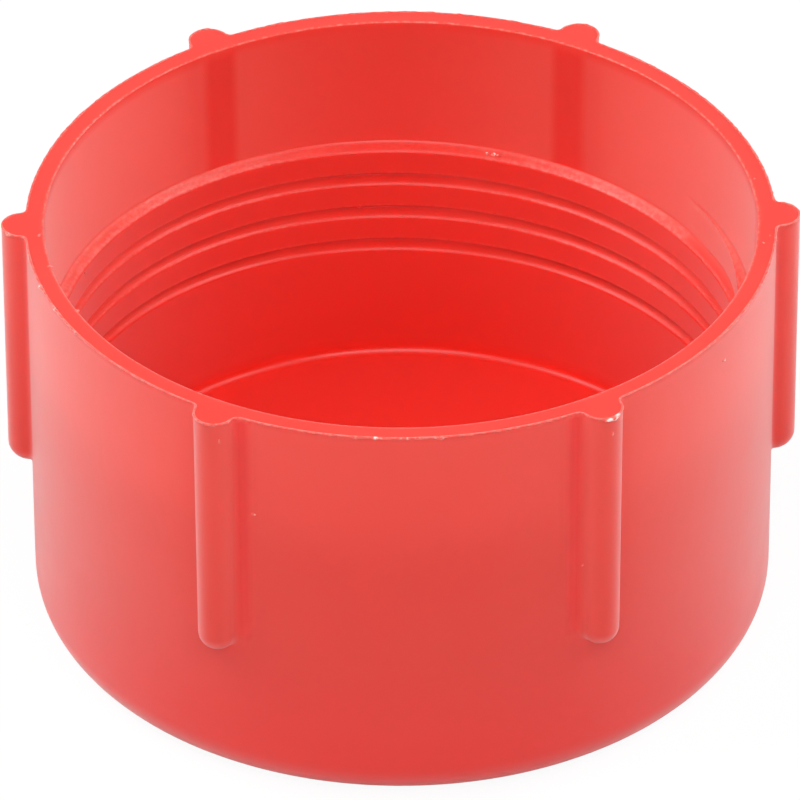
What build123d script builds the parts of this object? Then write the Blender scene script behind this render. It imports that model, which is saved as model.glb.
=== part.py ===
from build123d import *
from math import cos, radians, sin, tan
import os

# Threaded protection cap for a 1 7/16-12 male thread, moulded in one piece from soft polyethylene.
# It stands on its closed end: Z is the axis, and Z = 0 is the outer face of that end.
# The first grip rib is on +X. Lengths are in millimetres, angles in degrees.

# Cup
cap_height = 23.3
rim_wall = 1.02  # at the mouth
mouth_flare = 0.04  # widening of the plain bore up to the mouth
base_corner = 2.2
floor_thickness = 2.3
floor_bevel = 0.5

# Grip ribs
rib_count = 6
rib_radius = 1.15  # half-round section
rib_lift = 0.08  # from the skirt out to the rib's axis
rib_foot = 8.5  # height of the ribs' lower ends
rib_end_flats = 2  # cones that round each rib's lower end

# Internal thread, right-handed
thread_diameter = 36.5125  # 1 7/16 inch
pitch = 2.1167  # 12 threads to the inch
thread_clearance = 0.1  # radial, over the mating thread
ridge_height = 0.55  # shallow, so that the cap strips off the mould's core
root_flat = 0.15
flank_angle = 30  # each side of the 60 degree groove
thread_depth = 5.86  # from the rim to the start of the ridge
thread_turns = 4.25
thread_start = 32  # turned about the axis from the first rib
lead_in_radius = 13.6  # rounds the start of the ridge off
bore_relief = 0.04  # radial, at each step out from the thread's root to the plain bore

cut_past = 0.3  # how far a cutter reaches past the face that it opens

root_radius = thread_diameter / 2 + thread_clearance
crest_radius = root_radius - ridge_height
ledge_radius = root_radius + bore_relief
bore_radius = ledge_radius + bore_relief
mouth_radius = bore_radius + mouth_flare
rim_radius = mouth_radius + rim_wall
flank_rise = ridge_height * tan(radians(flank_angle))
past_rise = cut_past * tan(radians(flank_angle))
start_height = cap_height - thread_depth
end_height = start_height - thread_turns * pitch

# Thread groove: a 60 degree section wound up from the thread's lower end
with BuildPart() as groove:
    with BuildLine():
        Helix(pitch, thread_turns * pitch, root_radius, center=(0, 0, end_height))
    with BuildSketch(Plane.XZ):
        with BuildLine():
            Polyline(
                (root_radius, end_height),
                (root_radius, end_height + root_flat),
                (crest_radius - cut_past, end_height + root_flat + flank_rise + past_rise),
                (crest_radius - cut_past, end_height - flank_rise - past_rise),
                close=True,
            )
        make_face()
    sweep(is_frenet=True)

# The groove's last turn opens into the plain bore, so nothing is left above its lower flank
last_turn = start_height - pitch
with BuildPart() as opening:
    with BuildLine():
        Helix(pitch, pitch, ledge_radius, center=(0, 0, last_turn + pitch / 2))
    with BuildSketch(Plane.XZ):
        with BuildLine():
            Polyline(
                (ledge_radius, last_turn + root_flat / 2),
                (ledge_radius, last_turn + pitch - root_flat / 2),
                (crest_radius - cut_past, last_turn + pitch - root_flat / 2),
                (crest_radius - cut_past, last_turn + root_flat / 2),
                close=True,
            )
        make_face()
    sweep(is_frenet=True)

# Grip rib: a rod about its own axis, rounded at its lower end
rib_end = [radians(90 * step / rib_end_flats) for step in range(rib_end_flats + 1)]
with BuildPart() as rib:
    with BuildSketch(Plane.XZ):
        with BuildLine():
            Polyline(
                *[(rib_radius * sin(a), rib_foot + rib_radius * (1 - cos(a))) for a in rib_end],
                (rib_radius, cap_height),
                (0, cap_height),
                close=True,
            )
        make_face()
    revolve()

with BuildPart() as cap:
    # Closed cup, solid so far
    with BuildSketch():
        Circle(rim_radius)
    extrude(amount=cap_height)
    base_edge = cap.edges().filter_by(GeomType.CIRCLE).sort_by(Axis.Z)[0]
    fillet(base_edge, base_corner)

    # Ribs, half sunk in the skirt
    with PolarLocations(rim_radius + rib_lift, rib_count):
        add(rib.part)

    # Bore at the thread's crest
    with BuildSketch(Plane.XY.offset(floor_thickness)):
        Circle(crest_radius)
    extrude(amount=cap_height - floor_thickness, mode=Mode.SUBTRACT)
    floor_edge = cap.edges().filter_by(GeomType.CIRCLE).filter_by_position(
        Axis.Z, floor_thickness, floor_thickness
    )[0]
    chamfer(floor_edge, floor_bevel)

    # Thread, then the plain bore from the start of the ridge to the mouth
    add(groove.part, rotation=(0, 0, thread_start - 360 * thread_turns), mode=Mode.SUBTRACT)
    add(opening.part, rotation=(0, 0, thread_start), mode=Mode.SUBTRACT)
    with BuildSketch(Plane.XZ):
        with BuildLine():
            Polyline(
                (0, start_height - root_flat),
                (bore_radius, start_height - root_flat),
                (mouth_radius, cap_height),
                (0, cap_height),
                close=True,
            )
        make_face()
    revolve(mode=Mode.SUBTRACT)

    # Lead-in: the ridge fades into the bore where it starts
    with BuildSketch(Plane.XY.offset(last_turn + root_flat / 4)):
        with PolarLocations(root_radius - lead_in_radius, 1, start_angle=thread_start):
            Circle(lead_in_radius)
            with Locations((0, cut_past)):
                Rectangle(
                    2 * lead_in_radius,
                    lead_in_radius,
                    align=(Align.CENTER, Align.MIN),
                    mode=Mode.SUBTRACT,
                )
    extrude(amount=cap_height - last_turn, mode=Mode.SUBTRACT)

cap.part.label = "cap"
os.makedirs("parts", exist_ok=True)
export_step(cap.part, "parts/cap.step")
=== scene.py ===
import math
import bpy
import bmesh
import numpy as np
from mathutils import Matrix, Vector


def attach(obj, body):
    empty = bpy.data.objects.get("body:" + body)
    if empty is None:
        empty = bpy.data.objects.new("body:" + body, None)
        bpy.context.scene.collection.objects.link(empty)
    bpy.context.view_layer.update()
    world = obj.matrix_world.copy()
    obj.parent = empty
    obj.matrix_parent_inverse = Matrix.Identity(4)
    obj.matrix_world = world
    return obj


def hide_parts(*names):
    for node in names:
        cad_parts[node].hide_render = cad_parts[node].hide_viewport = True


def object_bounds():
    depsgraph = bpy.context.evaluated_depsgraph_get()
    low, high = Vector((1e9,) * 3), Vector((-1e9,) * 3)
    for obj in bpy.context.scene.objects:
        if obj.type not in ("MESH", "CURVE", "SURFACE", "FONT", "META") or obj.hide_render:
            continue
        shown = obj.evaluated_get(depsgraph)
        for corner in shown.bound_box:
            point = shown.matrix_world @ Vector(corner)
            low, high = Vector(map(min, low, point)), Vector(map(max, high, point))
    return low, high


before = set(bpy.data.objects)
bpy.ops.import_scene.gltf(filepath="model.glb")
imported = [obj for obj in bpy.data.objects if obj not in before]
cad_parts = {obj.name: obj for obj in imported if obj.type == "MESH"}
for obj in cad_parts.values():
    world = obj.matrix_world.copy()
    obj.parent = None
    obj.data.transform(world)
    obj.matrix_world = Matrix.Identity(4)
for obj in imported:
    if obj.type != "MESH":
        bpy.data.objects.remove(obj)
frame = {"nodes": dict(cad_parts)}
cadLow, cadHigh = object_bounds()
print("frame loaded, nodes:", ", ".join(frame["nodes"]))

mm = 0.001


def smoothStep(x):
    # 0 below 0, 1 above 1, and an S curve between
    x = np.clip(x, 0.0, 1.0)
    return x * x * (3.0 - 2.0 * x)


def meshFromGrids(name, grids):
    # each grid is rows x columns x 3, in millimetres; neighbours in it become quads
    points, quads, first = [], [], 0
    for grid in grids:
        rows, cols = grid.shape[:2]
        index = first + np.arange(rows * cols).reshape(rows, cols)
        corners = [index[:-1, :-1], index[:-1, 1:], index[1:, 1:], index[1:, :-1]]
        quads.append(np.stack(corners, -1).reshape(-1, 4))
        points.append(grid.reshape(-1, 3))
        first += rows * cols
    points, quads = np.concatenate(points) * mm, np.concatenate(quads)
    mesh = bpy.data.meshes.new(name)
    mesh.vertices.add(len(points))
    mesh.vertices.foreach_set("co", points.astype(np.float32).ravel())
    mesh.loops.add(quads.size)
    mesh.loops.foreach_set("vertex_index", quads.astype(np.int32).ravel())
    mesh.polygons.add(len(quads))
    mesh.polygons.foreach_set("loop_start", np.arange(0, quads.size, 4, dtype=np.int32))
    mesh.polygons.foreach_set("loop_total", np.full(len(quads), 4, np.int32))
    mesh.update(calc_edges=True)
    return mesh


def paintMesh(mesh, name, values):
    # one number per vertex, which the material reads by its name
    layer = mesh.attributes.new(name, "FLOAT", "POINT")
    layer.data.foreach_set("value", np.asarray(values, np.float32).ravel())


def finishMesh(mesh, weld=0.00005):
    # doubles go first, so that seams and poles close, then the normals are made to agree;
    # weld is the distance in millimetres within which points are doubles
    bm = bmesh.new()
    bm.from_mesh(mesh)
    bmesh.ops.remove_doubles(bm, verts=bm.verts, dist=weld * mm)
    bmesh.ops.dissolve_degenerate(bm, edges=bm.edges, dist=weld * mm)
    bmesh.ops.recalc_face_normals(bm, faces=bm.faces)
    openEdges = sum(1 for e in bm.edges if len(e.link_faces) != 2)
    bm.to_mesh(mesh)
    bm.free()
    mesh.polygons.foreach_set("use_smooth", np.ones(len(mesh.polygons), bool))
    mesh.update()
    print("  ", mesh.name, len(mesh.polygons), "faces,", openEdges, "open edges")


def sharpenThread(mesh):
    # breaks the smooth shading along the bore's sharper bends, so that a crest's edge seen from
    # above doesn't shade as if it faced away
    mesh.set_sharp_from_angle(angle=math.radians(thread["sharpBend"]))
    sharp = np.zeros(len(mesh.edges), bool)
    mesh.attributes["sharp_edge"].data.foreach_get("value", sharp)
    ends = np.zeros(2 * len(mesh.edges), np.int32)
    mesh.edges.foreach_get("vertices", ends)
    points = np.zeros(3 * len(mesh.vertices), np.float32)
    mesh.vertices.foreach_get("co", points)
    x, y, z = points.reshape(-1, 3)[ends[::2]].T / mm
    inBore = np.hypot(x, y) < cap["boreRadius"] + thread["sharpReach"]
    inBore = inBore & (z > thread["lowest"]) & (z < thread["highest"])
    mesh.attributes["sharp_edge"].data.foreach_set("value", sharp & inBore)


def addPiece(mesh, material):
    piece = bpy.data.objects.new(mesh.name, mesh)
    bpy.context.scene.collection.objects.link(piece)
    mesh.materials.append(material)
    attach(piece, "root")
    return piece


# The moulded cap is one surface carried round the axis: from the middle of the closed end's
# outside, up the skirt, over the rim, down the thread and across the floor.
cap = {
    "rimRadius": 19.47,
    "baseRadius": 19.38,
    "rimHeight": 23.24,
    "baseCorner": 2.2,
    "mouthRadius": 18.476,
    "boreRadius": 18.40,
    "crestRadius": 17.806,
    "floorHeight": 2.3,
    "floorCorner": 0.5,
    "rimEdge": 0.06,  # rounding of the rim's outer edge
    "mouthEdge": 0.12,  # rounding of its inner edge
    # degrees round each of these edges, and how white the plastic is there: whitened on the outer edge, a
    # painted highlight on the inner
    "rimEdgeWear": ((0, 0.2), (25, 0.5), (50, 0.65), (70, 0.45), (90, 0.15)),
    "mouthEdgeHighlight": ((0, 0.2), (20, 0.6), (40, 0.6), (60, 0.3), (90, 0.0)),
    # how deep the colour is: 0 where the wall is thin, 1 where the plastic is thick; it also carries painted
    # shade
    "rimDepth": 0.55,
    "floorDepth": 0.85,
    "lowShadeHeight": 21.0,  # below this the skirt's colour slowly deepens: painted shade, darker towards the bottom
    "lowShadeCurve": 1.5,  # the power of that fade
    # Painted shade on the far side of the inside, deepening the colour where that wall faces the camera:
    # the side's middle and half width in degrees, and the depth there. It counts for more in the thread.
    "farSideShade": (91.0, 27.0, 0.55),
    "farSideShadeInThread": 1.3,
    # heights of the level rows, going the way that the surface does
    "skirtRows": (3.4, 4.8, 6.2, 7.4, 8.1),
    "boreRows": (22.6, 21.6, 20.4, 19.4),
    "lowerBoreRows": (6.0, 4.5, 3.3),
}
rib = {
    "count": 6,
    "radius": 1.07,
    "lift": 0.16,
    "foot": 8.5,
    "footWidth": 0.93,  # its draft: the width at the foot, as a share of that at the rim
    "cornerAngle": 78.0,  # where the fillet to the skirt takes over
    "filletRun": 1.1,  # degrees along the skirt
    "tipAngles": (0, 11, 22, 33, 44, 55, 65, 73),  # degrees, of the points round its tip
    "filletShares": (0.2, 0.4, 0.6, 0.8),
    "arcPoints": 21,
    "arcCrowding": 1.15,  # above 1 the arc's points crowd towards the rib
    "endAngles": (84, 76, 67, 58, 49, 40, 31, 22, 14, 7, 0),  # degrees, rows of its ball end
    "rows": (10.6, 12.5, 15.0, 18.0, 20.5, 22.2, 22.9),
    # painted shade of the rib in the light through the wall, a strip of deeper colour inside behind it:
    # depth, half width and soft edge in degrees, where it begins above the foot and over how many
    # millimetres it comes in
    "behind": (0.75, 1.6, 3.0, 0.6, 2.0),
    # painted shade in the corner beside it, on the side that faces the front: depth, degrees from
    # the rib's middle, half width, and over how many millimetres it comes in
    "beside": (1.2, 4.3, 1.2, 1.5),
}
thread = {
    "pitch": 2.1167,
    "height": 0.55,
    "rootFlat": 0.15,
    "flank": 0.55 * math.tan(math.radians(30)),
    "startHeight": 17.44,
    "startAngle": 32.0,
    "turns": 4.25,
    "fade": 0.03,  # of a turn, over which the last groove runs out
    "leadInRadius": 13.6,
    "leadInAngles": (-30, 60),  # degrees before the ridge starts, between which it may reach
    "leadInHeights": (-0.3, 0.1),  # millimetres above the ridge, and short of the next one
    "edgeRound": 0.1,  # half the height over which a corner is rounded
    "edgeSamples": 7,
    "lowest": 7.3,  # the rows that follow the helix are held between these two heights
    "highest": 18.6,
    "firstTurn": -2,  # enough turns of rows to fill that height all round
    "lastTurn": 5,
    # distances below the helix of the rows in each pitch: close together at the crest's edges
    "rows": (
        -0.1, -0.05, 0.0, 0.05, 0.1, 0.16, 0.22, 0.27, 0.32, 0.37, 0.42, 0.6, 0.98, 1.38, 1.53,
        1.6, 1.649, 1.7, 1.75, 1.86, 1.93,
    ),
    "hair": 0.0001,  # millimetres: a row on the helix counts as below it at both ends of a turn
    "crestShade": 0.75,  # how much deeper the colour is at a crest, where the wall is thicker
    "sharpBend": 9.0,  # degrees: bends above this break the smooth shading
    "sharpReach": 0.03,  # millimetres beyond the bore within which an edge is the bore's own
}
# whitening of the thread, from stripping the cap off its core, with painted highlights on its crests' edges
# and its first flank; lengths in millimetres
whiteningAndHighlights = {
    "side": 91,  # degrees, the far side, where the wall faces the camera
    "edges": 0.3,  # how white a crest's edges are
    "upperWidth": 0.05,
    "lowerWidth": 0.06,
    "upperShares": (0.2, 0.8),  # on that side, and what is added away from it
    "lowerShares": (0.8, 0.2),
    "away": (8, 12),  # degrees from that side where the change begins, and over how many
    "short": 1.1,  # turns before the thread's end at which the whitening ends
    "ledge": 0.4,  # painted highlight on the first flank, which faces up
    "ledgeSoft": 0.06,
    "ledgePast": 0.04,  # how far that painted highlight goes past the flank, onto the crest
    "ledgeShares": (0.15, 0.85),
    "ledgeAway": (5, 35),
}


def ribOutline(q, skirtRadius, width=1.0):
    # The skirt's outline with its ribs, for a rib section q times its full radius and with
    # its width scaled again.
    # Going out from the rib's tip: a circle, then a quadratic curve round the inner corner,
    # then the skirt's own arc to halfway to the next rib. Returns x and y in millimetres.
    tipAngles = np.radians([*rib["tipAngles"], rib["cornerAngle"]])
    rho = rib["radius"] * q
    centre = skirtRadius + rib["lift"] * q
    tip = np.stack([centre + rho * np.cos(tipAngles), rho * width * np.sin(tipAngles)], -1)
    cosMeet = (skirtRadius**2 - centre**2 - rho**2) / (2 * centre * rho) if q > 0 else 0.0
    meet = math.asin(rho * width * math.sin(math.acos(cosMeet)) / skirtRadius)
    arcFrom = meet + math.radians(rib["filletRun"]) * q
    corner = skirtRadius * np.array([math.cos(meet), math.sin(meet)])
    arcStart = skirtRadius * np.array([math.cos(arcFrom), math.sin(arcFrom)])
    t = np.array(rib["filletShares"])[:, None]
    fillet = (1 - t) ** 2 * tip[-1] + 2 * t * (1 - t) * corner + t**2 * arcStart
    if q == 0:
        fillet = np.repeat(arcStart[None], len(t), 0)
    spread = np.linspace(0, 1, rib["arcPoints"]) ** rib["arcCrowding"]
    arcAngles = arcFrom + (math.pi / rib["count"] - arcFrom) * spread
    arc = skirtRadius * np.stack([np.cos(arcAngles), np.sin(arcAngles)], -1)
    half = np.concatenate([tip, fillet, arc])
    mirrored = half[-2:0:-1] * [1, -1]
    x, y = np.concatenate([half, mirrored]).T  # tip, round to the next tip's start
    turned = []
    for k in range(rib["count"]):
        a = 2 * math.pi * k / rib["count"]
        shift = np.where(np.arange(len(x)) < len(half), a, a + 2 * math.pi / rib["count"])
        c, s = np.cos(shift), np.sin(shift)
        turned.append(np.stack([x * c - y * s, x * s + y * c], -1))
    ring = np.concatenate(turned)
    return np.concatenate([ring, ring[:1]])


def ribWidthAt(z):
    # a straight draft from the rib's foot up to the rim
    share = (z - rib["foot"]) / (cap["rimHeight"] - rib["foot"])
    return rib["footWidth"] + (1 - rib["footWidth"]) * share


def skirtRadiusAt(z):
    # a straight draft from the base up to the rim
    return cap["baseRadius"] + (cap["rimRadius"] - cap["baseRadius"]) * z / cap["rimHeight"]


def outlineNormals(ring):
    # unit vectors pointing out of a closed outline
    closed = ring[:-1]
    tangent = np.roll(closed, -1, 0) - np.roll(closed, 1, 0)
    normal = np.stack([tangent[:, 1], -tangent[:, 0]], -1)
    normal /= np.linalg.norm(normal, axis=1)[:, None] + 1e-12
    return np.concatenate([normal, normal[:1]])


def threadProfile(depthBelow):
    # Depth of the groove, 0 at the crest and 1 at the root, against the distance below the
    # lower edge of a groove's flat: flank, crest, flank, flat, and again a pitch further on
    phase = np.mod(depthBelow, thread["pitch"])
    upper = thread["pitch"] - thread["rootFlat"] - thread["flank"]
    down = 1 - phase / thread["flank"]
    up = (phase - upper) / thread["flank"]
    return np.clip(np.maximum(down, up), 0, 1)


def boreRadiusAt(theta, z):
    # Inner wall: the crest's cylinder with the groove cut into it along a helix, open above
    # the top turn, where the bore is plain. The corners are rounded by a running mean along z.
    ledge = thread["startHeight"] + thread["pitch"] * (theta - thread["startAngle"]) / 360
    ledge = np.where(theta > thread["startAngle"], ledge - thread["pitch"], ledge)
    plain = cap["boreRadius"] + (cap["mouthRadius"] - cap["boreRadius"]) * smoothStep(
        (z - thread["startHeight"]) / (cap["rimHeight"] - thread["startHeight"])
    )
    turnsHere = np.mod((thread["startAngle"] - theta) / 360, 1.0)

    def wallAt(offset):
        below = ledge - (z + offset)
        groove = np.floor(below / thread["pitch"]) + np.where(
            np.mod(below, thread["pitch"]) > thread["pitch"] / 2, 1, 0
        )
        fade = smoothStep((thread["turns"] - turnsHere - groove) / thread["fade"])
        fade = np.where(groove < 1, 1.0, fade)
        wall = cap["crestRadius"] + thread["height"] * threadProfile(below) * fade
        return np.where(below < -thread["hair"], plain, wall)

    offsets = np.linspace(-1, 1, thread["edgeSamples"]) * thread["edgeRound"]
    radius = sum(wallAt(offset) for offset in offsets) / len(offsets)
    # a crest's lower edge, which was the last to leave the core, stays sharp
    lowerEdge = thread["pitch"] - thread["rootFlat"] - thread["flank"]
    kept = np.abs(np.mod(ledge - z, thread["pitch"]) - lowerEdge) < thread["edgeRound"]
    radius = np.where(kept & (ledge > z), wallAt(0.0), radius)
    # lead-in: a circle that touches the root where the ridge starts
    rootRadius = cap["crestRadius"] + thread["height"]
    reach = rootRadius - thread["leadInRadius"]
    back = np.radians(np.clip(thread["startAngle"] - theta, *thread["leadInAngles"]))
    circle = reach * np.cos(back) + np.sqrt(thread["leadInRadius"] ** 2 - (reach * np.sin(back)) ** 2)
    above, short = thread["leadInHeights"]
    inRidge = (ledge - z > above) & (ledge - z < thread["pitch"] - short) & (back > 0)
    return np.where(inRidge, np.maximum(radius, np.minimum(circle, plain)), radius)


def threadWhiteningAndHighlights(degrees, below):
    # Whitening and painted highlights on a crest's two edges: a narrow bell about each, stronger
    # or weaker away from the far side, where the wall faces the camera; and a painted highlight on the first
    # flank, from end to end
    t = thread
    start = np.where(degrees > t["startAngle"], t["pitch"], 0.0)  # where the ridge begins
    phase = below % t["pitch"]
    lowerEdge = t["pitch"] - t["rootFlat"] - t["flank"]
    upper = np.exp(-(((phase - t["flank"]) / whiteningAndHighlights["upperWidth"]) ** 2))
    lower = np.exp(-(((phase - lowerEdge) / whiteningAndHighlights["lowerWidth"]) ** 2))
    fromSide = np.abs((degrees - whiteningAndHighlights["side"] + 180) % 360 - 180)
    away, ledgeAway = (
        smoothStep((fromSide - begins) / over) for begins, over in (whiteningAndHighlights["away"], whiteningAndHighlights["ledgeAway"])
    )
    upper = upper * (whiteningAndHighlights["upperShares"][0] + whiteningAndHighlights["upperShares"][1] * away)
    lower = lower * (whiteningAndHighlights["lowerShares"][0] + whiteningAndHighlights["lowerShares"][1] * away)
    real = (below > start) & (below < start + t["pitch"] * (t["turns"] - whiteningAndHighlights["short"]))
    soft = whiteningAndHighlights["ledgeSoft"]
    ledgeEnd = start + t["flank"] + whiteningAndHighlights["ledgePast"]
    onLedge = smoothStep((below - start + soft) / soft) * smoothStep((ledgeEnd - below) / soft)
    onLedge = onLedge * (whiteningAndHighlights["ledgeShares"][0] + whiteningAndHighlights["ledgeShares"][1] * ledgeAway)
    return np.maximum(whiteningAndHighlights["edges"] * np.maximum(upper, lower) * real, whiteningAndHighlights["ledge"] * onLedge)


def capGrid():
    rows = []
    wearAndHighlights = []  # how white each row's plastic is from stress and rubbing, and its painted highlights
    deep = []  # how deep its colour is, from the thickness behind it and from painted shade

    def levelRow(xy, z, white=0.0, depth=0.0):
        rows.append(np.column_stack([xy, np.broadcast_to(z, len(xy))]))
        wearAndHighlights.append(np.broadcast_to(white, len(xy)))
        deep.append(np.broadcast_to(depth, len(xy)))

    def lowSkirtShade(z):
        # painted shade: the skirt's colour deeper towards the bottom
        return (1 - smoothStep(z / cap["lowShadeHeight"])) ** cap["lowShadeCurve"]

    def cornerShade(ring, z):
        # painted shade in a narrow strip down the corner beside each rib, over the skirt's painted shade low
        # down
        most, away, halfWidth, comesIn = rib["beside"]
        degrees = np.degrees(np.arctan2(ring[:, 1], ring[:, 0]))
        step = 360 / rib["count"]
        toRib = (degrees + step / 2) % step - step / 2
        towardsFront = toRib * np.sign(np.sin(np.radians(degrees - toRib + 90)) + 1e-6)
        strip = np.exp(-(((-towardsFront - away) / halfWidth) ** 2))
        return np.maximum(most * strip * smoothStep((z - rib["foot"]) / comesIn), lowSkirtShade(z))

    def farSideShade(degrees):
        # painted shade on the inside's far wall
        middle, halfWidth, most = cap["farSideShade"]
        return most * np.exp(-(((degrees - middle) / halfWidth) ** 2))

    def innerShade(degrees, z):
        # painted shade: a soft strip up the inside behind each rib, its shadow in the light through the
        # wall, and the far side's painted shade
        most, halfWidth, soft, begins, comesIn = rib["behind"]
        step = 360 / rib["count"]
        toRib = np.abs((degrees + step / 2) % step - step / 2)
        strip = 1 - smoothStep((toRib - halfWidth) / soft)
        shade = most * strip * smoothStep((z - rib["foot"] - begins) / comesIn)
        return np.maximum(shade, farSideShade(degrees))

    plainRing = ribOutline(0.0, 1.0)
    corner, base = cap["baseCorner"], cap["baseRadius"]
    # closed end, outside: a flat disc, its middle first
    for fraction in (0.0, 0.03, 0.2, 0.4, 0.6, 0.8, 0.97):
        levelRow(plainRing * (base - corner) * fraction, 0.0, depth=1.0)
    # base corner, a quarter circle
    for a in np.radians(np.linspace(0, 90, 13)):
        z = corner * (1 - math.cos(a))
        levelRow(plainRing * (base - corner + corner * math.sin(a)), z, depth=lowSkirtShade(z))
    for z in cap["skirtRows"]:
        levelRow(plainRing * skirtRadiusAt(z), z, depth=lowSkirtShade(z))
    # the ribs' ball ends, then the ribs
    ballCentre = rib["foot"] + rib["radius"]
    sections = [(rib["foot"], 0.0)]
    for a in np.radians(rib["endAngles"]):
        sections.append((ballCentre - rib["radius"] * math.sin(a), math.cos(a)))
    for z, q in sections + [(z, 1.0) for z in rib["rows"]]:
        ring = ribOutline(q, skirtRadiusAt(z), ribWidthAt(z))
        levelRow(ring, z, depth=cornerShade(ring, z))
    # rim: outer edge, flat top, inner edge
    top = ribOutline(1.0, cap["rimRadius"])
    outward = outlineNormals(top)
    theta = np.unwrap(np.arctan2(top[:, 1], top[:, 0]))
    theta = theta - theta[0]
    degrees = np.degrees(theta)
    ray = np.stack([np.cos(theta), np.sin(theta)], -1)
    edge, lip, depth = cap["rimEdge"], cap["mouthEdge"], cap["rimDepth"]
    for angle, white in cap["rimEdgeWear"]:
        inward, down = edge * (1 - np.cos(np.radians(angle))), edge * (1 - np.sin(np.radians(angle)))
        levelRow(top - outward * inward, cap["rimHeight"] - down, white, depth)
    edgeRing = top - outward * edge
    mouthRing = ray * (cap["mouthRadius"] + lip)
    for fraction in (0.12, 0.4, 0.7, 0.9):
        levelRow(edgeRing + (mouthRing - edgeRing) * fraction, cap["rimHeight"], depth=depth)
    # painted highlight along the mouth's rounded inner edge
    for angle, white in cap["mouthEdgeHighlight"]:
        outside, down = lip * (1 - np.sin(np.radians(angle))), lip * (1 - np.cos(np.radians(angle)))
        levelRow(ray * (cap["mouthRadius"] + outside), cap["rimHeight"] - down, white, depth)
    for z in cap["boreRows"]:
        level = np.full(len(theta), z)
        levelRow(ray * boreRadiusAt(degrees, level)[:, None], z, depth=innerShade(degrees, z))
    # thread: rows that follow the helix, held between two level rings
    t = thread
    helix = t["startHeight"] + t["pitch"] * (degrees - t["startAngle"]) / 360
    turns = t["pitch"] * np.arange(t["firstTurn"], t["lastTurn"] + 1)
    for below in np.add.outer(turns, t["rows"]).ravel():
        z = np.clip(helix - below, t["lowest"], t["highest"])
        if np.array_equal(rows[-1][:, 2], z):
            continue
        radius = boreRadiusAt(degrees, z)
        rows.append(np.column_stack([ray * radius[:, None], z]))
        wearAndHighlights.append(threadWhiteningAndHighlights(degrees, helix - z))
        thickness = np.clip((cap["boreRadius"] - radius) / t["height"], 0, 1)
        aboveRidge = helix - z < np.where(degrees > t["startAngle"], t["pitch"], 0.0)
        # crests' deeper colour from their thickness, with the far side's painted shade
        crestDepthAndShade = np.maximum(t["crestShade"] * thickness, cap["farSideShadeInThread"] * farSideShade(degrees))
        deep.append(np.where(aboveRidge, innerShade(degrees, z), crestDepthAndShade))
    # plain lower bore, the floor's corner and the floor
    corner, floor, crest = cap["floorCorner"], cap["floorHeight"], cap["crestRadius"]
    for z in cap["lowerBoreRows"]:
        levelRow(ray * crest, z, depth=t["crestShade"])
    for a in np.radians(np.linspace(0, 90, 8)):
        inward, up = corner * (1 - math.cos(a)), corner * (1 - math.sin(a))
        levelRow(ray * (crest - inward), floor + up, depth=cap["floorDepth"])
    for fraction in (0.93, 0.8, 0.6, 0.4, 0.2, 0.03, 0.0):
        levelRow(ray * (crest - corner) * fraction, floor, depth=cap["floorDepth"])
    return np.stack(rows), np.stack(wearAndHighlights), np.stack(deep)


flash = {
    "step": 0.08,  # millimetres between sections
    "rise": 0.035,
    "reach": 0.045,
    "sag": 0.05,
    "tallest": 0.055,
    "root": 0.12,  # how far its section goes into the rim
    "margin": 0.004,  # kept inside the frame's own box
    "teeth": (0.24, 0.9, 3.5),  # widths of its teeth and of their thicker stretches
    "seed": 12,
    "least": 0.25,  # its size where the noises are 0
    "toothSize": 1.2,
    "middleShare": 0.3,  # what is added to the middle noise before it multiplies the fine one
    "longShares": (0.4, 0.8),
    # degrees about the axis, half width in degrees, how many times as large there
    "bursts": (
        (-98, 0.9, 2.6), (-95, 1.0, 2.6), (-91, 0.9, 3.4), (-89, 0.9, 3.2), (-85, 1.2, 2.8),
        (-121, 0.25, 2.0), (-118.5, 0.3, 1.8), (-117, 0.2, 1.6), (-178, 0.6, 2.0), (-150, 0.25, 2.4),
        (-171, 0.7, 2.2), (-163, 0.9, 2.6), (-157, 0.9, 2.4), (-153, 0.6, 1.8), (-62, 0.2, 1.8),
    ),
    "burstShares": (0.15, 1.3),  # of a burst: everywhere, and by the fine noise squared
    # a torn shaving on a rib's top: its middle, half width and soft end in degrees
    "fray": (-60, 1.45, 0.35),
    "frayShares": (0.45, 0.75),  # of the shaving: everywhere, and by the fine noise
    "frayReach": 0.13,
    "frayRise": 0.05,
    "fraySag": 0.11,
    "fraySagShare": 0.5,
    # whiteness: at least, by size, by burst, by the shaving, and at most
    "white": (0.3, 0.3, 0.35, 0.9, 1.6),
}


def loopNoise(along, total, width, rng):
    # random heights from 0 to 1 set a width apart round a closed line, with S curves between
    count = max(int(round(total / width)), 4)
    knots = rng.random(count)
    x = along / total * count
    i = np.floor(x).astype(int)
    f = smoothStep(x - i)
    return knots[i % count] * (1 - f) + knots[(i + 1) % count] * f


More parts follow.
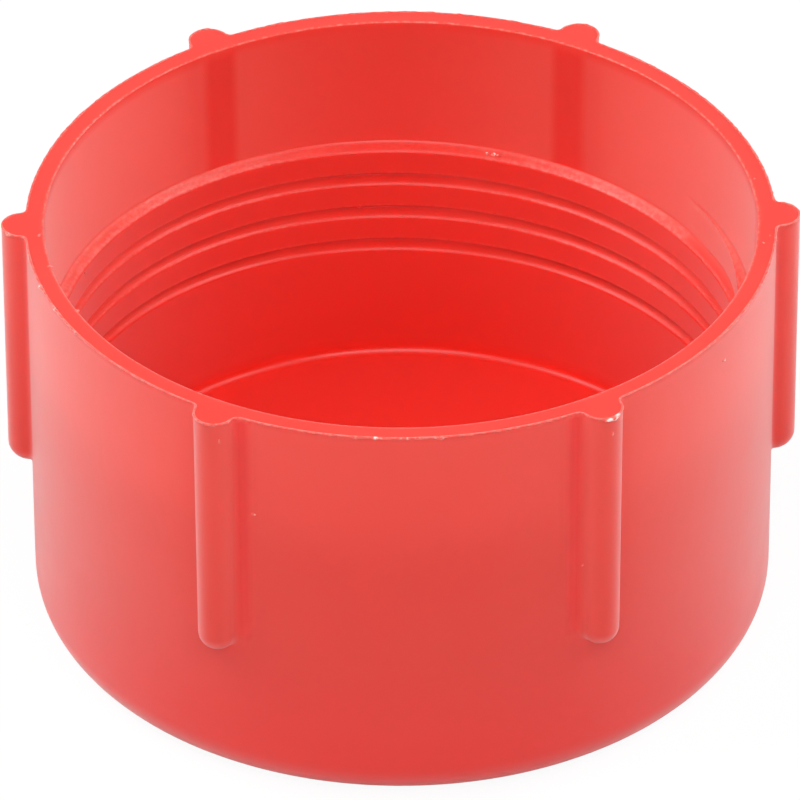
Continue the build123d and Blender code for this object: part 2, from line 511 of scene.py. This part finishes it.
def flashGrid():
    # Flash left on the rim's outer edge: a small closed section carried along the outline,
    # whose size is a product of three noises, larger in a few bursts and at the torn shaving
    ring = ribOutline(1.0, cap["rimRadius"])
    runs = np.concatenate([[0], np.cumsum(np.linalg.norm(np.diff(ring, axis=0), axis=1))])
    total = runs[-1]
    along = np.linspace(0, total, int(round(total / flash["step"])) + 1)
    line = np.stack([np.interp(along, runs, ring[:, 0]), np.interp(along, runs, ring[:, 1])], -1)
    outward = outlineNormals(line)
    degrees = np.degrees(np.arctan2(line[:, 1], line[:, 0]))
    rng = np.random.default_rng(flash["seed"])
    fine, middle, long = (loopNoise(along, total, width, rng) for width in flash["teeth"])
    overLong, byLong = flash["longShares"]
    tooth = flash["toothSize"] * fine * (flash["middleShare"] + middle) * (overLong + byLong * long)
    size = flash["least"] + tooth
    everywhere, byFine = flash["burstShares"]
    burst = 0.0
    for centre, halfWidth, gain in flash["bursts"]:
        bell = np.exp(-(((degrees - centre) / halfWidth) ** 2))
        burst = burst + (gain - 1) * bell * (everywhere + byFine * fine**2)
    size = size + burst
    centre, halfWidth, soft = flash["fray"]
    everywhere, byFine = flash["frayShares"]
    torn = smoothStep((halfWidth - np.abs(degrees - centre)) / soft) * (everywhere + byFine * fine)
    reach = flash["reach"] * size + flash["frayReach"] * torn
    rise = np.minimum(flash["rise"] * size + flash["frayRise"] * torn, flash["tallest"])
    sag = flash["sag"] * size + flash["fraySag"] * torn * (flash["fraySagShare"] + middle)
    # the section, going round from its root in the rim: how far out from the rim's edge, then
    # how far up
    section = (
        (-flash["root"], -0.05), (-0.075, 0.3 * rise), (-0.025, rise), (0.5 * reach, 0.75 * rise),
        (reach, -0.15 * sag), (0.7 * reach, -sag), (-0.03, -sag - 0.06), (-0.09, -0.09),
    )
    low = np.array(cadLow)[:2] / mm + flash["margin"]
    high = np.array(cadHigh)[:2] / mm - flash["margin"]
    rows = []
    for out, up in section:
        place = np.clip(line + outward * np.reshape(out, (-1, 1)), low, high)
        rows.append(np.column_stack([place, np.broadcast_to(cap["rimHeight"] + up, len(line))]))
    least, bySize, byBurst, byFray, most = flash["white"]
    white = np.clip(least + bySize * size / (1 + size) + byBurst * burst + byFray * torn, 0, most)
    return np.stack(rows + rows[:1]), np.tile(white, (len(rows) + 1, 1))


# Dust and nicks in the skin, by the wall that each lies on: degrees about the axis, height in
# millimetres (on the rim how far across it, from 0 at the mouth to 1 outside), radius, and
# how white it is, or dark below 0.
specks = {
    "bore": (
        (74, 15.4, 0.12, 1.0), (73, 15.4, 0.14, 1.1), (72, 15.4, 0.12, 1.0), (96, 11.8, 0.13, 0.7),
        (158, 15.5, 0.11, -0.5),
    ),
    "rim": (
        (-151, 1.0, 0.12, 0.95), (-155, 0.0, 0.1, 0.6), (-177, 0.2, 0.12, 0.6), (-168, 0.1, 0.14, 0.6),
        (-6, 0.7, 0.09, 0.7), (-8, 0.4, 0.09, 0.6), (10, 0.3, 0.09, 0.6), (-163, 0.9, 0.1, -0.7),
        (-157, 0.9, 0.1, -0.7),
    ),
    "skirt": (
        (-4, 22.4, 0.1, 0.7), (-118, 22.3, 0.09, 0.7), (-118, 22.1, 0.08, 0.7), (-114, 17.4, 0.1, 0.8),
        (-60, 22.2, 0.08, 0.6), (-63, 13.7, 0.1, 0.7), (-33, 21.5, 0.14, 0.6),
    ),
}
grain = {
    "rimSink": 0.02,  # millimetres below the rim's top
    "pressed": 3,  # how many times as wide as it is thick
    "waves": ((2, 0.25), (3, 0.18)),  # in its outline: how many, and how high
    "columns": 15,
    "rows": 7,
    "seed": 5,
}


def outerRadiusAt(degrees, z):
    # how far from the axis the skirt or a rib is, found along their outline
    ring = ribOutline(1.0, skirtRadiusAt(z), ribWidthAt(z))
    angles = np.degrees(np.arctan2(ring[:, 1], ring[:, 0]))
    return np.interp(degrees, angles, np.hypot(*ring.T), period=360)


def speckCentre(wall, degrees, place):
    # a point on one of the cap's walls, in millimetres
    if wall == "rim":
        z = cap["rimHeight"] - grain["rimSink"]
        radius = cap["mouthRadius"] + place * (outerRadiusAt(degrees, z) - cap["mouthRadius"])
    else:
        z = place
        radius = boreRadiusAt(degrees, z) if wall == "bore" else outerRadiusAt(degrees, z)
    angle = math.radians(degrees)
    return np.array([radius * math.cos(angle), radius * math.sin(angle), z])


def speckGrid(wall, centre, radius, rng):
    # a flat grain, half sunk in the skin: a ball pressed flat, its outline pushed in and out
    # by two waves that start anywhere
    columns, rows = np.linspace(0, 2 * math.pi, grain["columns"]), np.linspace(0, math.pi, grain["rows"])
    across, over = np.meshgrid(columns, rows)
    outline = 1
    for count, height in grain["waves"]:
        outline = outline + height * np.sin(count * across + rng.uniform(0, 6))
    level = wall == "rim"
    normal = np.array([0.0, 0.0, 1.0]) if level else centre * [1, 1, 0] / math.hypot(*centre[:2])
    side = np.cross([0.0, 1.0, 0.0] if level else [0.0, 0.0, 1.0], normal)
    tilt = np.cross(normal, side)
    flat = radius * np.sin(over) * outline
    return (
        centre
        + (flat * np.cos(across))[..., None] * side
        + (flat * np.sin(across))[..., None] * tilt
        + (radius / grain["pressed"] * np.cos(over))[..., None] * normal
    )


print("moulding the cap")
grid, wearAndHighlights, deep = capGrid()
capMesh = meshFromGrids("mouldedCap", [grid])
paintMesh(capMesh, "wearAndHighlights", wearAndHighlights)
paintMesh(capMesh, "deep", deep)
finishMesh(capMesh)
sharpenThread(capMesh)

print("flash and specks")
rng = np.random.default_rng(grain["seed"])
grids, wearAndHighlights = map(list, zip(flashGrid()))
for wall, places in specks.items():
    for degrees, place, radius, white in places:
        grids.append(speckGrid(wall, speckCentre(wall, degrees, place), radius, rng))
        wearAndHighlights.append(np.full(grids[-1].shape[:2], white))
flashMesh = meshFromGrids("rimFlash", grids)
paintMesh(flashMesh, "wearAndHighlights", np.concatenate([values.ravel() for values in wearAndHighlights]))
finishMesh(flashMesh)


def hexColour(code):
    # sRGB hex to the linear values that the shaders take
    parts = np.array([int(code[i:i + 2], 16) for i in (0, 2, 4)]) / 255
    linear = np.where(parts <= 0.04045, parts / 12.92, ((parts + 0.055) / 1.055) ** 2.4)
    return (*linear.tolist(), 1.0)


def addNode(tree, kind, settings=None, links=None):
    # one node, with its properties, socket values and incoming links
    node = tree.nodes.new(kind)
    for key, value in (settings or {}).items():
        if isinstance(key, int) or key in node.inputs:
            node.inputs[key].default_value = value
        else:
            setattr(node, key, value)
    for key, source in (links or {}).items():
        tree.links.new(source, node.inputs[key])
    return node


polyethylene = {
    "colour": "F72F16",
    "ior": 1.51,
    "roughness": (0.31, 0.4),  # from cloud to cloud
    "sheen": 0.75,
    "sheenWhereDeep": 0.25,
    "sheenRoughness": 0.5,
    "scatter": 0.5,
    "scatterDepth": (1.6, 0.25, 0.12),  # millimetres, per channel
    "through": 0.42,  # share of the light that a thin wall lets through, blurred
    "throughColour": "FFC4BB",
    # noises in the plastic: size in millimetres and detail
    "clouds": (3.5, 2.0),
    "ragged": (0.25, 2.0),  # the breaks in white lines and painted highlights
    "ripples": (1.6, 3.0),  # the skin's waves
    "rippleDepth": 0.004,  # millimetres
    "roughSpan": (0.3, 0.7),  # of the clouds' noise
    "raggedSpan": (0.42, 0.62),
    "raggedShares": (0.15, 1.15),  # of the white lines and painted highlights: in the breaks, and between them
    # the colour's layers from the bottom up: what shows each, from what to what, and its colour
    "layers": (
        ("clouds", 0.4, 0.7, "F8351F"),  # the pigment's faint clouds
        ("deep", 0.0, 1.0, "E81A06"),  # where the plastic behind is thick, and painted shade
        ("whitenedAndHighlights", 0.0, 1.0, "FB8C7B"),  # white plastic where stressed, and painted highlights on the thread and the mouth's edge
        ("whitenedAndHighlights", 0.7, 1.2, "FFEDE6"),  # torn
        ("wearAndHighlights", 0.0, -1.0, "A8301C"),  # nicks
    ),
}


def mouldedPolyethylene(name, scatter):
    # Soft polyethylene, red all through and injection moulded: it glows a little where the
    # light comes through a thin wall, its satin skin hazes over at a slant, and it turns
    # white where it was strained or torn
    # Its colour also carries painted shade where it is deep and painted highlights where it is white.
    material = bpy.data.materials.new(name)
    material.use_nodes = True
    tree = material.node_tree
    shader = tree.nodes["Principled BSDF"]
    p = polyethylene
    shader.subsurface_method = "BURLEY"
    shader.inputs["IOR"].default_value = p["ior"]
    shader.inputs["Sheen Roughness"].default_value = p["sheenRoughness"]
    shader.inputs["Subsurface Weight"].default_value = scatter
    shader.inputs["Subsurface Radius"].default_value = p["scatterDepth"]
    shader.inputs["Subsurface Scale"].default_value = mm
    # what the looks depend on: the noises, and the numbers painted on the piece
    place = addNode(tree, "ShaderNodeTexCoord").outputs["Object"]
    shows = {}
    for key in ("clouds", "ragged", "ripples"):
        size, detail = p[key]
        settings = {"Scale": 1 / (size * mm), "Detail": detail}
        shows[key] = addNode(tree, "ShaderNodeTexNoise", settings, {"Vector": place}).outputs[0]
    for key in ("wearAndHighlights", "deep"):
        shows[key] = addNode(tree, "ShaderNodeAttribute", {"attribute_name": key}).outputs["Fac"]
    # numbers that follow from them: source, from what to what, and what comes out at each end
    spans = {
        "breaks": ("ragged", p["raggedSpan"], p["raggedShares"]),
        "roughness": ("clouds", p["roughSpan"], p["roughness"]),
        "sheen": ("deep", (0.0, 1.0), (p["sheen"], p["sheenWhereDeep"])),
        "thin": ("deep", (0.0, 1.0), (p["through"] * scatter / p["scatter"], 0.0)),
    }
    for key, (source, (low, high), (atLow, atHigh)) in spans.items():
        settings = {"From Min": low, "From Max": high, "To Min": atLow, "To Max": atHigh}
        shows[key] = addNode(tree, "ShaderNodeMapRange", settings, {"Value": shows[source]}).outputs[0]
    product = {0: shows["wearAndHighlights"], 1: shows["breaks"]}
    shows["whitenedAndHighlights"] = addNode(tree, "ShaderNodeMath", {"operation": "MULTIPLY"}, product).outputs[0]
    colour = None
    for source, low, high, over in p["layers"]:
        settings = {"From Min": low, "From Max": high}
        links = {0: addNode(tree, "ShaderNodeMapRange", settings, {"Value": shows[source]}).outputs[0]}
        if colour:
            links[6] = colour
        settings = {"data_type": "RGBA", 6: hexColour(p["colour"]), 7: hexColour(over)}
        colour = addNode(tree, "ShaderNodeMix", settings, links).outputs[2]
    skin = addNode(tree, "ShaderNodeBump", {"Distance": p["rippleDepth"] * mm, "Strength": 1.0},
                   {"Height": shows["ripples"]})
    tree.links.new(colour, shader.inputs["Base Color"])
    tree.links.new(shows["roughness"], shader.inputs["Roughness"])
    tree.links.new(shows["sheen"], shader.inputs["Sheen Weight"])
    tree.links.new(skin.outputs[0], shader.inputs["Normal"])
    blurred = addNode(tree, "ShaderNodeBsdfTranslucent", {"Color": hexColour(p["throughColour"])})
    both = addNode(tree, "ShaderNodeMixShader", {},
                   {0: shows["thin"], 1: shader.outputs[0], 2: blurred.outputs[0]})
    tree.links.new(both.outputs[0], tree.nodes["Material Output"].inputs["Surface"])
    return material


print("colouring the plastic")
capPiece = addPiece(capMesh, mouldedPolyethylene("mouldedRedPolyethylene", polyethylene["scatter"]))
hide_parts("cap")
addPiece(flashMesh, mouldedPolyethylene("tornRedPolyethylene", 0.0))  # too thin to glow

studio = {
    "floorSize": 6.0,  # metres
    "floorTop": -0.02,  # millimetres: just under the cap's foot
    "paper": "DCDCDC",
    "white": 1.03,  # strength of the plain white
    "whiteShare": 0.91,  # how much of the floor's look is plain white; the rest keeps the shadow
    "glossShare": 0.17,  # the same in the cap's gloss
    "tentStrength": 0.14,  # of the light all round; seen directly it is white
    "aim": (0, 0, 0.01),  # metres, where the soft boxes point
    # the soft boxes: place and size in metres, power in watts
    "boxes": {
        "frontBox": ((0, -0.45, 0.55), (0.5, 0.3), 2.65),
        "leftBox": ((-0.36, 0, 0.5), (0.4, 0.3), 1.9),
        "rightBox": ((0.36, 0, 0.5), (0.4, 0.3), 1.35),
        "backLeftBox": ((-0.48, 0.26, 0.2), (0.4, 0.3), 0.95),
        "backRightBox": ((0.48, 0.26, 0.2), (0.4, 0.3), 1.25),
    },
}


def whiteFloor():
    # a matt white sweep: seen directly it is white paper, with a share left for the shadow
    material = bpy.data.materials.new("mattWhitePaper")
    material.use_nodes = True
    tree = material.node_tree
    tree.nodes.remove(tree.nodes["Principled BSDF"])
    paper = addNode(tree, "ShaderNodeBsdfDiffuse", {"Color": hexColour(studio["paper"])})
    glow = addNode(tree, "ShaderNodeEmission", {"Color": (1, 1, 1, 1), "Strength": studio["white"]})
    ray = addNode(tree, "ShaderNodeLightPath").outputs
    seen = addNode(tree, "ShaderNodeMath", {"operation": "MAXIMUM"},
                   {0: ray["Is Camera Ray"], 1: ray["Is Transmission Ray"]})
    plain = addNode(tree, "ShaderNodeMath", {"operation": "MULTIPLY", 1: studio["whiteShare"]},
                    {0: seen.outputs[0]})
    share = addNode(tree, "ShaderNodeMath", {"operation": "MULTIPLY_ADD", 1: studio["glossShare"]},
                    {0: ray["Is Glossy Ray"], 2: plain.outputs[0]})
    mix = addNode(tree, "ShaderNodeMixShader", {},
                  {0: share.outputs[0], 1: paper.outputs[0], 2: glow.outputs[0]})
    tree.links.new(mix.outputs[0], tree.nodes["Material Output"].inputs["Surface"])
    return material


def softBox(name, place, size, power):
    # a rectangular lamp, aimed at the cap
    light = bpy.data.lights.new(name, "AREA")
    light.shape = "RECTANGLE"
    light.size, light.size_y = size
    light.energy = power
    lamp = bpy.data.objects.new(name, light)
    lamp.location = place
    lamp.rotation_euler = (Vector(studio["aim"]) - Vector(place)).to_track_quat("-Z", "Y").to_euler()
    bpy.context.scene.collection.objects.link(lamp)


print("setting the studio")
half, z = studio["floorSize"] / 2, studio["floorTop"] * mm
floorMesh = bpy.data.meshes.new("studioFloor")
floorCorners = [(-half, -half, z), (half, -half, z), (half, half, z), (-half, half, z)]
floorMesh.from_pydata(floorCorners, [], [(0, 1, 2, 3)])
floorMesh.materials.append(whiteFloor())
floor = bpy.data.objects.new("studioFloor", floorMesh)
bpy.context.scene.collection.objects.link(floor)

world = bpy.data.worlds.new("lightTent")
bpy.context.scene.world = world
world.use_nodes = True
tent = world.node_tree.nodes["Background"].inputs
tent["Color"].default_value = (1, 1, 1, 1)
seenDirectly = addNode(world.node_tree, "ShaderNodeLightPath").outputs["Is Camera Ray"]
tentLight = addNode(world.node_tree, "ShaderNodeMapRange", {"To Min": studio["tentStrength"], "To Max": 1.0},
                    {"Value": seenDirectly})
world.node_tree.links.new(tentLight.outputs[0], tent["Strength"])

for name, (place, size, power) in studio["boxes"].items():
    softBox(name, place, size, power)

camera = {
    "distance": 604.5,  # millimetres, from the target
    "elevation": 35.47,
    "azimuth": -91.1,  # about the axis, from the first rib
    "target": (-0.08, 0.0, 11.74),
    "roll": 0.00364,  # radians
    "lens": 519.1,  # millimetres, as is the sensor
    "sensor": 36.0,
    "clip": (0.01, 20),  # metres
}
print("placing the camera")
rise, turn = math.radians(camera["elevation"]), math.radians(camera["azimuth"])
back = Vector((math.cos(rise) * math.cos(turn), math.cos(rise) * math.sin(turn), math.sin(rise)))
cameraData = bpy.data.cameras.new("camera")
cameraData.lens = camera["lens"]
cameraData.sensor_width = camera["sensor"]
cameraData.clip_start, cameraData.clip_end = camera["clip"]
cameraObject = bpy.data.objects.new("camera", cameraData)
cameraObject.location = (Vector(camera["target"]) + back * camera["distance"]) * mm
aim = (-back).to_track_quat("-Z", "Y").to_matrix().to_4x4()
aim = aim @ Matrix.Rotation(-camera["roll"], 4, "Z")
cameraObject.rotation_euler = aim.to_euler()
bpy.context.scene.collection.objects.link(cameraObject)
bpy.context.scene.camera = cameraObject
bpy.context.scene.view_settings.view_transform = "Standard"
